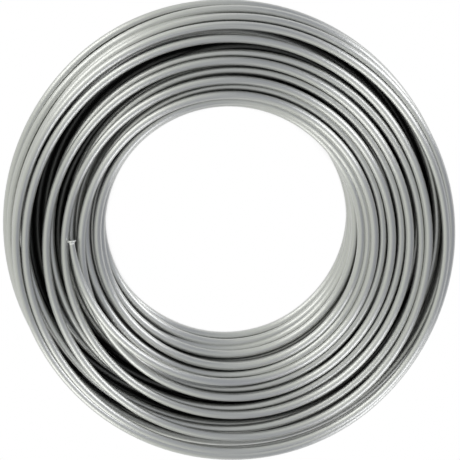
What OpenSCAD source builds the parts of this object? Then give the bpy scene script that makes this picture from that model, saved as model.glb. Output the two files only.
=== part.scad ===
// A coil of galvanized steel wire, lying flat on its side faces, axis upright.
// The packed turns are one turned solid with its bore. On them lie two open layers: in the
// lower one the wire winds inward, in the top one outward, and they cross each other.
// The top layer's free end lies across its first turn.
// Origin: the middle of the coil's footprint, on the surface it lies on. +Z is the axis.

/* [Wire] */
// Diameter of the wire
wire_d = 3.77; // [3:0.01:4.5]

/* [Packed turns] */
// Clear diameter through the middle
bore_d = 108.5; // [95:0.5:120]
// Outside diameter over the widest layer
coil_d = 209; // [200:0.5:240]
// Number of layers under the two open ones
packed_layers = 3; // [3:1:6]
// How far each packed layer settles into the one below
layer_nest = 0.49; // [0.2:0.01:0.8]
// How far the end layers lie inside the outer wall's widest layer
outer_crown = 1.5; // [0:0.1:4]
// How far the bore wall has opened at the uppermost packed layer
bore_opening = 1.8; // [0:0.1:3]

/* [Open layers] */
// How far the first turn of the top layer lies outside the bore wall
top_inset = 9.4; // [8:0.1:11]
// Step from one open turn to the next
open_pitch = 8.1; // [7:0.1:12]
// Direction in which each turn of the top layer starts to step outward
step_angle = 120; // [100:5:130]
// How far the top layer leans off the axis, towards the front
top_lean = 4; // [0.5:0.1:6]
// Angle of each of the two bends by which the wire comes down to the next layer
descent_bend = 30; // [20:1:35]
// Angle before the front at which the top layer has come down to the lower one
descent_end = 30; // [5:5:40]
// Angle over which the lower open layer's last turn goes down between the packed turns
landing_sweep = 80; // [60:5:120]

/* [Free end] */
// Angle of wire from the climb over the top layer's first turn to the cut end
tail_sweep = 50; // [40:2:80]
// Radius that the sprung end has opened to
tail_r = 79; // [72:0.1:90]

/* [Hidden] */
$fn = 96;
wire_r = wire_d / 2;
wire_fn = 32;
// The turns on an end are drawn at most this share of a diameter apart, so that they join
closest_turns = 0.96;
// How far the bead stands proud that joins two bends of different layers or planes
bead_swell = 0.02;
// Gap between a turn of an open layer and the turns that it lies on
open_gap = 0.05;
zinc = [0.70, 0.72, 0.72];
bore_line = bore_d / 2 + wire_r;
outer_line = coil_d / 2 - wire_r;
layer_rise = wire_d - layer_nest;
last = packed_layers - 1;
open_rise = wire_d + open_gap;
lower_z = wire_r + last * layer_rise + open_rise;
lower_lean = top_lean / 2;
first_r = bore_line + top_inset;
open_turns = 1 + floor((outer_line - top_lean - first_r) / open_pitch);
last_r = first_r + (open_turns - 1) * open_pitch;
// The layers lean along the Y axis, so a turn passes smoothly from one to the next at the front
front = 270;
lower_r = last_r + top_lean - lower_lean;
landing_depth = wire_r;

// The descent of a turn of radius r by one open layer: its bends lie in planes that tilt about
// the wire, one down and one back up, and meet halfway down in one direction
function fall(r) = r * (1 - cos(descent_bend));
function descent_tilt(r) =
    atan((fall(r) - sqrt(pow(fall(r), 2) - pow(open_rise, 2) * cos(descent_bend)))
        / (open_rise * cos(descent_bend)));
function descent_turn(r) = atan(tan(descent_bend) * cos(descent_tilt(r)));
function descent_r(r) = r * cos(descent_tilt(r))
    / (cos(descent_bend) + (1 - cos(descent_bend)) * pow(cos(descent_tilt(r)), 2));

// Height of a packed layer's wire centres
function layer_z(k) = wire_r + k * layer_rise;
// How far a layer is from the widest one or two, 0 to 1
function off_middle(k) = pow((abs(2 * k - last) - last % 2) / (last - last % 2), 2);
// Wire centres of a layer at the bore wall and at the outer wall
function bore_at(k) = bore_line + bore_opening * pow(k / last, 2);
function outer_at(k) = outer_line - outer_crown * off_middle(k);

// The turns side by side that show on an end of the packed coil
module end_row(k) {
    span = outer_at(k) - bore_at(k);
    steps = ceil(span / (closest_turns * wire_d));
    for (i = [0:steps])
        translate([bore_at(k) + i * span / steps, layer_z(k)]) circle(r = wire_r, $fn = wire_fn);
}

// Half of the coil's section: a filled middle with the wall turns and end turns round it
module coil_section() {
    polygon(concat(
        [for (k = [0:last]) [bore_at(k), layer_z(k)]],
        [for (k = [last:-1:0]) [outer_at(k), layer_z(k)]]));
    for (k = [1:last - 1], x = [bore_at(k), outer_at(k)])
        translate([x, layer_z(k)]) circle(r = wire_r, $fn = wire_fn);
    end_row(0);
    end_row(last);
}

module packed_turns() {
    rotate_extrude() coil_section();
}

// A bend of wire in the plane of the coil
module wire_bend(r, sweep) {
    rotate_extrude(angle = sweep) translate([r, 0]) circle(r = wire_r, $fn = wire_fn);
}

module bead() {
    sphere(r = wire_r + bead_swell);
}

// Half a turn, which moves outward by step as it goes round
module half_turn(from, r, step = 0) {
    rotate(from) translate([-step / 2, 0]) wire_bend(r + step / 2, 180);
}

// The first bend of the descent, from the direction in which it starts
module descent_half(r) {
    translate([r, 0]) {
        bead();
        rotate([0, -descent_tilt(r), 0]) translate([-descent_r(r), 0])
            wire_bend(descent_r(r), descent_bend);
    }
}

// The descent of a turn of radius r, to where it ends
module descent(to, r) {
    rotate(to - 2 * descent_turn(r)) {
        descent_half(r);
        translate([0, 0, -open_rise / 2]) rotate(descent_turn(r)) {
            translate([descent_r(r) * sin(descent_bend) / sin(descent_turn(r)), 0]) bead();
            rotate([180, 0, 0]) rotate(-descent_turn(r)) translate([0, 0, open_rise / 2])
                descent_half(r);
        }
    }
}

// Each turn holds its radius for half a turn and moves out one pitch in the next half; the last
// one holds it until it comes down to the layer below
module top_layer() {
    start = front - descent_end - 2 * descent_turn(last_r);
    for (i = [0:open_turns - 1]) half_turn(step_angle - 180, first_r + i * open_pitch);
    for (i = [0:open_turns - 2]) half_turn(step_angle, first_r + i * open_pitch, open_pitch);
    rotate(step_angle) wire_bend(last_r, start - step_angle);
    descent(front - descent_end, last_r);
    translate([0, 0, -open_rise]) rotate(front - descent_end) wire_bend(last_r, descent_end);
}

// The free end comes down to the top layer's first turn, which it has crossed
module free_end() {
    start = step_angle - 180 - 2 * descent_turn(first_r);
    descent(step_angle - 180, first_r);
    rotate(start) translate([first_r - tail_r, 0]) rotate(-tail_sweep) wire_bend(tail_r, tail_sweep);
}

// The lower open layer winds inward, one pitch in each turn's right half; its outermost turn
// holds its radius there and moves in on the left
module lower_layer() {
    rotate(front) translate([lower_r, 0]) bead();
    half_turn(front, lower_r);
    half_turn(front - 180, lower_r, -open_pitch);
    for (i = [1:open_turns - 1]) {
        half_turn(front, lower_r - i * open_pitch, -open_pitch);
        half_turn(front - 180, lower_r - (i + 1) * open_pitch);
    }
    landing();
}

// The lower layer's last turn goes down between the two innermost turns on the packed end
module landing() {
    r = lower_r - open_turns * open_pitch;
    seat_r = bore_at(last) + wire_r + lower_lean * sin(front + landing_sweep);
    shift = (r - seat_r) / (1 - cos(landing_sweep));
    drop = open_rise + landing_depth;
    tilt = asin(drop / ((r - shift) * (1 - cos(landing_sweep))));
    rotate(front) translate([r, 0]) {
        bead();
        rotate([0, -tilt, 0]) translate([shift - r, 0]) wire_bend(r - shift, landing_sweep);
    }
}

module wire_coil() {
    color(zinc) {
        packed_turns();
        translate([0, -lower_lean, lower_z]) lower_layer();
        translate([0, -top_lean, lower_z + open_rise]) {
            top_layer();
            translate([0, 0, open_rise]) free_end();
        }
    }
}

wire_coil();
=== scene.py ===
# A coil of galvanized steel wire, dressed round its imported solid.
import bpy
import math
import numpy as np
from mathutils import Matrix, Vector


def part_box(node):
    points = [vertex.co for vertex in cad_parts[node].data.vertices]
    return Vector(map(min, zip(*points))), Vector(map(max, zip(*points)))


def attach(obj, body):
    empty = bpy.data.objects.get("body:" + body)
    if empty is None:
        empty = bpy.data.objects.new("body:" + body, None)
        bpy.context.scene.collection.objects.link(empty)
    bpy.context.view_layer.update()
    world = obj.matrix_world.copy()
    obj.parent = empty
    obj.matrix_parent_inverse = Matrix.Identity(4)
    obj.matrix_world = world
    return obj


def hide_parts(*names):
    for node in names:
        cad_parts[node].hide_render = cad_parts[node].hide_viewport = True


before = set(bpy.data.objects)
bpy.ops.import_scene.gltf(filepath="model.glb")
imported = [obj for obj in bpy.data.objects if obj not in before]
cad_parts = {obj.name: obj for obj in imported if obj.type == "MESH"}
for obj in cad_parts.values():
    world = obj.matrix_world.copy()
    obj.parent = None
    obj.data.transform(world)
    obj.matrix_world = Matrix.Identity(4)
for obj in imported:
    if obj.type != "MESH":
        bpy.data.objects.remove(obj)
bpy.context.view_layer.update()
bpy.ops.object.select_all(action="DESELECT")

coilLow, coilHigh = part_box("wire_coil")
coilSeat = ((coilLow[0] + coilHigh[0]) / 2, (coilLow[1] + coilHigh[1]) / 2, coilLow[2])

# The coil as it is wound, from the free end on top to the hidden end at the bottom. A place is the
# angle in degrees that the wire has turned through since the first turn began, and how far it is
# from the level's middle there. The two open levels have their places one by one. A packed level
# has "walls": angles within any turn, each with the distances of the turns in "knots", counted
# from the bore. The turns between are spread evenly. "end" has the places of the wire's way on to
# the next level.
winding = {
    "wire": 0.00377,
    "stationsPerTurn": 144,     # rings of the tube in each turn
    "sides": 16,
    "bendOver": 44,             # angle over which the wire evens out a change of distance
    "climbOver": 60,            # angle over which it passes from level to level
    "open": [
        [(-180.5, 0.0736), (-160, 0.0706), (-140, 0.0681), (-120, 0.0662), (-90, 0.0652), (0, 0.0648),
         (60, 0.0658), (120, 0.0672), (180, 0.0692), (240, 0.0722), (300, 0.0730), (360, 0.0728),
         (405, 0.0728), (450, 0.0732), (480, 0.0738), (540, 0.0768), (600, 0.0803), (660, 0.0813),
         (720, 0.0811), (765, 0.0812), (810, 0.0820), (840, 0.0826), (900, 0.0851), (960, 0.0899),
         (1020, 0.0921), (1065, 0.0899), (1095, 0.0897), (1150, 0.0915), (1260, 0.0948),
         (1320, 0.0974), (1390, 0.0984), (1440, 0.0978), (1530, 0.0980), (1590, 0.0986),
         (1640, 0.0995), (1700, 0.0998), (1740, 0.1000)],
        [(1770, 0.1008), (1805, 0.1010), (1860, 0.0998), (1904, 0.0988), (1945, 0.0982),
         (1975, 0.0957), (2000, 0.0929), (2035, 0.0918), (2065, 0.0906), (2135, 0.0888),
         (2165, 0.0867), (2250, 0.0826), (2310, 0.0833), (2395, 0.0819), (2460, 0.0796),
         (2520, 0.0780), (2610, 0.0751), (2665, 0.0743), (2800, 0.0717), (2880, 0.0695),
         (2970, 0.0676), (3130, 0.0660), (3240, 0.0627), (3285, 0.0613), (3330, 0.0613),
         (3400, 0.0616), (3524, 0.0611), (3600, 0.0596)],
    ],
    "packed": [
        {"turns": 8, "knots": (0, 1, 4, 5, 6, 7),
         "walls": [(120, 0.0581, 0.0626, 0.0731, 0.0782, 0.0920, 0.0975),
                   (150, 0.0591, 0.0630, 0.0736, 0.0794, 0.0902, 0.0961),
                   (180, 0.0591, 0.0630, 0.0741, 0.0842, 0.0938, 0.0984),
                   (205, 0.0599, 0.0639, 0.0759, 0.0874, 0.0950, 0.0991),
                   (240, 0.0591, 0.0635, 0.0759, 0.0837, 0.0915, 0.0994),
                   (285, 0.0584, 0.0635, 0.0764, 0.0837, 0.0913, 0.0996),
                   (360, 0.0575, 0.0628, 0.0805, 0.0863, 0.0955, 0.0998),
                   (420, 0.0593, 0.0639, 0.0800, 0.0883, 0.0961, 0.1007)],
         "end": [(480, 0.0991), (510, 0.0990), (540, 0.1005), (565, 0.1017)]},
        {"turns": 9, "knots": (0, 5, 6, 8),
         "walls": [(250, 0.0597, 0.0874, 0.0934, 0.1049), (285, 0.0589, 0.0865, 0.0929, 0.1056),
                   (330, 0.0575, 0.0856, 0.0915, 0.1040), (390, 0.0580, 0.0844, 0.0894, 0.0995),
                   (445, 0.0580, 0.0810, 0.0874, 0.1000), (480, 0.0582, 0.0764, 0.0863, 0.1012),
                   (510, 0.0589, 0.0784, 0.0888, 0.1011), (540, 0.0584, 0.0833, 0.0938, 0.1017),
                   (565, 0.0573, 0.0856, 0.0943, 0.1021), (585, 0.0568, 0.0842, 0.0906, 0.1023)]},
        {"turns": 12, "knots": (0, 11),
         "walls": [(110, 0.0570, 0.0943), (180, 0.0580, 0.0980), (205, 0.0587, 0.1003),
                   (240, 0.0566, 0.1030), (280, 0.0560, 0.1044), (320, 0.0559, 0.1035),
                   (360, 0.0573, 0.1007), (390, 0.0582, 0.0980)]},
    ],
    "rise": 0.00355,            # from one level to the next
    "lean": 0.00262,            # each level lies this much further back than the one above it
    "leanAngle": 105,
    "nest": (0.0017, 0, 110),   # how deep the top level sinks in, about what angle, how far round
    "lift": (-60, -150, 0.0039),   # the free end climbs between these angles, by this much
    # the free end is drawn thin towards the cut and flares at it: how far along, and the share
    # of the wire's width
    "cut": [(0, 1.07), (0.0005, 1.06), (0.0009, 0.72), (0.002, 0.66), (0.009, 0.76), (0.018, 0.91),
            (0.027, 1)],
}


def smooth(t):
    t = np.clip(t, 0, 1)
    return t * t * t * (t * (6 * t - 15) + 10)


def placesAlongTurns(w):
    # every place in turn, and the angles between which the wire stays on each level
    places, spans = [], []
    for level in w["open"]:
        places += level
        spans.append((level[0][0], level[-1][0]))
    for i, layer in enumerate(w["packed"]):
        last = spans[-1][1]
        start = 360 * (last // 360)
        if start + layer["walls"][0][0] < last + w["climbOver"]:
            start += 360
        spread = list(range(layer["turns"]))
        if i % 2:
            spread.reverse()    # every second packed level is laid inward
        for turn, nth in enumerate(spread):
            places += [(start + 360 * turn + angle, np.interp(nth, layer["knots"], radii))
                       for angle, *radii in layer["walls"]]
        spans.append((start + layer["walls"][0][0], places[-1][0]))
        lastTurn = start + 360 * (layer["turns"] - 1)
        places += [(lastTurn + angle, radius) for angle, radius in layer.get("end", [])]
    return places, spans


def pathAlongTurns(w):
    # angle, radius and level of every station, from the free end to the hidden one
    places, spans = placesAlongTurns(w)
    angles, radii = np.array(places).T
    step = 360 / w["stationsPerTurn"]
    angle = np.arange(angles[0], angles[-1], step)
    radius = rolling(np.interp(angle, angles, radii), int(w["bendOver"] / step))
    level = np.interp(angle, np.ravel(spans), np.repeat(np.arange(len(spans)), 2))
    return angle, radius, rolling(level, int(w["climbOver"] / step))


def rolling(values, width):
    # weighted mean along the wire, which bends it evenly through its places
    weights = np.hanning(width + 2)[1:-1]
    before = 2 * values[0] - values[width:0:-1]
    after = 2 * values[-1] - values[-2:-width - 2:-1]
    padded = np.concatenate([before, values, after])
    smoothed = np.convolve(padded, weights / weights.sum(), mode="same")
    return smoothed[width:-width]


def heightAlongTurns(w, angle, level):
    # levels lie a little closer than the wire is thick, the top one sunk between the turns of the
    # next where they run side by side, so turns that cross or crowd run into each other; the
    # free end climbs over the turn that it crosses
    height = w["wire"] / 2 + w["rise"] * (level.max() - level)
    depth, middle, spread = w["nest"]
    away = np.abs((angle - middle + 180) % 360 - 180)
    height -= depth * np.clip(1 - level, 0, 1) * smooth((spread - away) / w["climbOver"])
    start, stop, over = w["lift"]
    return height + over * smooth((angle - start) / (stop - start))


def windCoil(w, seat):
    angle, radius, level = pathAlongTurns(w)
    height = heightAlongTurns(w, angle, level)
    rad = np.radians(angle)
    lean = w["lean"] * (level - level.max() / 2)
    leanAngle = math.radians(w["leanAngle"])
    x = seat[0] + radius * np.cos(rad) + lean * math.cos(leanAngle)
    y = seat[1] + radius * np.sin(rad) + lean * math.sin(leanAngle)
    points = np.stack([x, y, seat[2] + height, np.ones(len(x))], axis=1)
    along = np.append(0, np.linalg.norm(np.diff(points[:, :3], axis=0), axis=1).cumsum())
    distance, width = np.array(w["cut"]).T
    stations = np.union1d(along, distance[distance < along[1]])     # the lip needs closer rings
    points = np.stack([np.interp(stations, along, column) for column in points.T], axis=1)
    bpy.ops.curve.primitive_nurbs_path_add()
    wire = bpy.context.object
    wire.name = "galvanizedWire"
    curve = wire.data
    curve.splines.clear()
    spline = curve.splines.new("POLY")
    spline.points.add(len(points) - 1)
    spline.points.foreach_set("co", points.ravel())
    spline.points.foreach_set("radius", np.interp(stations, distance, width))
    spline.use_smooth = True
    curve.dimensions = "3D"
    curve.twist_mode = "Z_UP"
    curve.bevel_mode = "ROUND"
    curve.bevel_depth = w["wire"] / 2
    curve.bevel_resolution = w["sides"] // 2 - 2
    curve.use_fill_caps = True
    bpy.ops.object.convert(target="MESH")
    wire = bpy.context.object
    print("wire:", len(wire.data.polygons), "faces,", round(along[-1], 2), "m long")
    bpy.ops.object.select_all(action="DESELECT")
    return wire


coilWire = windCoil(winding, coilSeat)
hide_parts("wire_coil")
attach(coilWire, "root")
print("coil wound")


# The zinc skin: pale metal with streaks drawn along the wire. u runs round the wire and v along
# it, so u goes round a circle to keep the streaks whole where it starts again.
zinc = {
    "colour": (0.97, 0.975, 0.95), "dull": (0.57, 0.575, 0.56), "roughness": (0.30, 0.42),
    "drawn": 0.75, "grain": 0.25,       # how far the finish runs one way, and which way in turns
    "streaksAround": 5, "streaksAlong": 60, "streakDetail": 3,
    "streakDepth": 0.05, "streakHeight": 0.00012,
    "patchesAround": 0.8, "patchesAlong": 700, "patchDetail": 2,
    # between close turns the skin is shaded, as far as they hide it from the light
    "crevice": 0.016, "creviceRange": (0.10, 0.42), "creviceShade": 0.43,
    # painted shade: low turns between the bore and the outer wall are darkened, standing in for the
    # shade deep inside the coil
    "buriedShade": 0.22, "buriedHeight": (0.0068, 0.009),
    "buriedFrom": (0.064, 0.068), "buriedTo": (0.098, 0.095),
}


def zincMaterial(z):
    material = bpy.data.materials.new("galvanizedZinc")
    material.use_nodes = True
    nodes = material.node_tree.nodes
    links = material.node_tree.links
    shader = nodes["Principled BSDF"]
    shader.inputs["Metallic"].default_value = 1
    shader.inputs["Anisotropic"].default_value = z["drawn"]
    across = nodes.new("ShaderNodeTangent")
    across.direction_type = "UV_MAP"
    across.uv_map = "UVMap"
    links.new(across.outputs[0], shader.inputs["Tangent"])
    shader.inputs["Anisotropic Rotation"].default_value = z["grain"]

    def sums(operation, first, second=None, third=None):
        node = nodes.new("ShaderNodeMath")
        node.operation = operation
        for socket, value in zip(node.inputs, (first, second, third)):
            if isinstance(value, (int, float)):
                socket.default_value = value
            elif value is not None:
                links.new(value, socket)
        return node.outputs[0]

    def smoothly(value, limits, least=0):
        node = nodes.new("ShaderNodeMapRange")
        node.interpolation_type = "SMOOTHSTEP"
        node.inputs["From Min"].default_value, node.inputs["From Max"].default_value = limits
        node.inputs["To Min"].default_value = least
        links.new(value, node.inputs["Value"])
        return node.outputs[0]

    uv = nodes.new("ShaderNodeUVMap")
    uv.uv_map = "UVMap"
    split = nodes.new("ShaderNodeSeparateXYZ")
    links.new(uv.outputs[0], split.inputs[0])
    turn = sums("MULTIPLY", split.outputs[0], math.tau)

    def noise(around, along, detail):
        place = nodes.new("ShaderNodeCombineXYZ")
        links.new(sums("MULTIPLY", sums("COSINE", turn), around), place.inputs[0])
        links.new(sums("MULTIPLY", sums("SINE", turn), around), place.inputs[1])
        links.new(sums("MULTIPLY", split.outputs[1], along), place.inputs[2])
        texture = nodes.new("ShaderNodeTexNoise")
        texture.inputs["Scale"].default_value = 1
        texture.inputs["Detail"].default_value = detail
        links.new(place.outputs[0], texture.inputs["Vector"])
        return texture.outputs["Fac"]

    streaks = noise(z["streaksAround"], z["streaksAlong"], z["streakDetail"])
    patches = noise(z["patchesAround"], z["patchesAlong"], z["patchDetail"])
    occlusion = nodes.new("ShaderNodeAmbientOcclusion")
    occlusion.inputs["Distance"].default_value = z["crevice"]
    occlusion.samples = 8
    shade = smoothly(occlusion.outputs["AO"], z["creviceRange"], z["creviceShade"])
    place = nodes.new("ShaderNodeTexCoord")
    axes = nodes.new("ShaderNodeSeparateXYZ")
    links.new(place.outputs["Object"], axes.inputs[0])
    squares = [sums("POWER", axes.outputs[i], 2) for i in range(2)]
    radius = sums("SQRT", sums("ADD", *squares))
    # painted shade: the skin is darker low in the coil, between the bore and the outer wall
    inside = sums("MULTIPLY", smoothly(radius, z["buriedFrom"]), smoothly(radius, z["buriedTo"]))
    low = sums("SUBTRACT", 1, smoothly(axes.outputs[2], z["buriedHeight"]))
    deepPaintedShade = sums("MULTIPLY_ADD", sums("MULTIPLY", inside, low), z["buriedShade"] - 1, 1)
    shadow = sums("MULTIPLY", shade, deepPaintedShade)
    skin = nodes.new("ShaderNodeMix")
    skin.data_type = "RGBA"
    skin.inputs["A"].default_value = (*z["colour"], 1)
    skin.inputs["B"].default_value = (*z["dull"], 1)
    links.new(streaks, skin.inputs["Factor"])
    dark = nodes.new("ShaderNodeMix")
    dark.data_type = "RGBA"
    dark.blend_type = "MULTIPLY"
    dark.inputs["Factor"].default_value = 1
    links.new(skin.outputs["Result"], dark.inputs["A"])
    links.new(shadow, dark.inputs["B"])
    links.new(dark.outputs["Result"], shader.inputs["Base Color"])
    rough = nodes.new("ShaderNodeMapRange")
    rough.inputs["To Min"].default_value, rough.inputs["To Max"].default_value = z["roughness"]
    links.new(patches, rough.inputs["Value"])
    links.new(rough.outputs[0], shader.inputs["Roughness"])
    bump = nodes.new("ShaderNodeBump")
    bump.inputs["Strength"].default_value = z["streakDepth"]
    bump.inputs["Distance"].default_value = z["streakHeight"]
    links.new(streaks, bump.inputs["Height"])
    links.new(bump.outputs[0], shader.inputs["Normal"])
    return material


coilWire.data.materials.clear()
coilWire.data.materials.append(zincMaterial(zinc))

# Plain pale floor, which the camera sees as white except in the coil's own shadow.
ground = {"size": 4, "colour": (0.85, 0.85, 0.85), "roughness": 0.9,
          "mirrored": 0.4,      # how white the metal sees it
          "shadow": 0.02, "shadowRange": (0.3, 0.5)}
bpy.ops.mesh.primitive_plane_add(size=ground["size"], location=coilSeat)
floor = bpy.context.object
floor.name = "floor"
floorMaterial = bpy.data.materials.new("paleFloor")
floorMaterial.use_nodes = True
nodes = floorMaterial.node_tree.nodes
links = floorMaterial.node_tree.links
base = nodes["Principled BSDF"]
base.inputs["Base Color"].default_value = (*ground["colour"], 1)
base.inputs["Roughness"].default_value = ground["roughness"]
glow = nodes.new("ShaderNodeEmission")
glow.inputs["Color"].default_value = (1, 1, 1, 1)
path = nodes.new("ShaderNodeLightPath")
seen = nodes.new("ShaderNodeMath")
seen.operation = "MULTIPLY_ADD"
seen.inputs[1].default_value = ground["mirrored"]
cover = nodes.new("ShaderNodeAmbientOcclusion")
cover.inputs["Distance"].default_value = ground["shadow"]
clear = nodes.new("ShaderNodeMapRange")
clear.inputs["From Min"].default_value, clear.inputs["From Max"].default_value = ground["shadowRange"]
share = nodes.new("ShaderNodeMath")
share.operation = "MULTIPLY"
mix = nodes.new("ShaderNodeMixShader")
links.new(path.outputs["Is Glossy Ray"], seen.inputs[0])
links.new(path.outputs["Is Camera Ray"], seen.inputs[2])
links.new(cover.outputs["AO"], clear.inputs["Value"])
links.new(seen.outputs[0], share.inputs[0])
links.new(clear.outputs[0], share.inputs[1])
links.new(share.outputs[0], mix.inputs[0])
links.new(base.outputs[0], mix.inputs[1])
links.new(glow.outputs[0], mix.inputs[2])
links.new(mix.outputs[0], nodes["Material Output"].inputs["Surface"])
floor.data.materials.append(floorMaterial)
print("floor laid")

# The camera looks down, a little from the back. "width" is what it sees across at the coil.
view = {"tilt": 6, "towards": 105, "distance": 1.1, "width": 0.2116, "sensor": 36,
        "target": (0.0001, -0.001, 0.008)}
tilt = math.radians(view["tilt"])
towards = math.radians(view["towards"])
aside = math.sin(tilt)
outward = Vector((aside * math.cos(towards), aside * math.sin(towards), math.cos(tilt)))
target = Vector(view["target"])
bpy.ops.object.camera_add(location=target + view["distance"] * outward)
camera = bpy.context.object
right = Vector((0, 1, 0)).cross(outward).normalized()
up = outward.cross(right)
camera.matrix_world = Matrix((
    (right.x, up.x, outward.x, camera.location.x),
    (right.y, up.y, outward.y, camera.location.y),
    (right.z, up.z, outward.z, camera.location.z),
    (0, 0, 0, 1)))
camera.data.sensor_width = view["sensor"]
camera.data.lens = view["sensor"] * view["distance"] / view["width"]
camera.data.clip_start = 0.05
bpy.context.scene.camera = camera
print("camera set")

# Four soft lamps round the coil, each at its angle with its power.
softboxes = {"elevation": 30, "distance": 0.9, "size": (0.4, 0.5),
             "powers": {38: 1.6, 133: 0.95, 229: 0.88, 312: 1.2}}


def addSoftbox(b, azimuth, power):
    a, e = math.radians(azimuth), math.radians(b["elevation"])
    outward = Vector((math.cos(a) * math.cos(e), math.sin(a) * math.cos(e), math.sin(e)))
    bpy.ops.object.light_add(type="AREA", location=outward * b["distance"])
    lamp = bpy.context.object
    lamp.name = "softbox%d" % azimuth
    lamp.rotation_euler = (-outward).to_track_quat("-Z", "Y").to_euler()
    lamp.data.shape = "RECTANGLE"
    lamp.data.size, lamp.data.size_y = b["size"]
    lamp.data.energy = power


for azimuth, power in softboxes["powers"].items():
    addSoftbox(softboxes, azimuth, power)
print("lamps set")

# The studio walls behind the lamps are warm and pale at the left, cool and dim at the right.
studio = {"strength": 1.12, "stops": (
    (0.0, (0.56, 0.575, 0.535)), (0.42, (0.56, 0.575, 0.535)), (0.5, (0.45, 0.46, 0.46)),
    (0.58, (0.28, 0.29, 0.32)), (1.0, (0.24, 0.25, 0.28)))}
world = bpy.data.worlds.new("studio")
bpy.context.scene.world = world
world.use_nodes = True
nodes = world.node_tree.nodes
links = world.node_tree.links
coordinates = nodes.new("ShaderNodeTexCoord")
split = nodes.new("ShaderNodeSeparateXYZ")
across = nodes.new("ShaderNodeMapRange")
across.inputs["From Min"].default_value = -1
ramp = nodes.new("ShaderNodeValToRGB")
while len(ramp.color_ramp.elements) < len(studio["stops"]):
    ramp.color_ramp.elements.new(0.5)
for element, (place, colour) in zip(ramp.color_ramp.elements, studio["stops"]):
    element.position = place
    element.color = (*colour, 1)
links.new(coordinates.outputs["Generated"], split.inputs[0])
links.new(split.outputs["X"], across.inputs["Value"])
links.new(across.outputs[0], ramp.inputs["Fac"])
links.new(ramp.outputs["Color"], nodes["Background"].inputs["Color"])
nodes["Background"].inputs["Strength"].default_value = studio["strength"]

bpy.context.scene.view_settings.view_transform = "Standard"
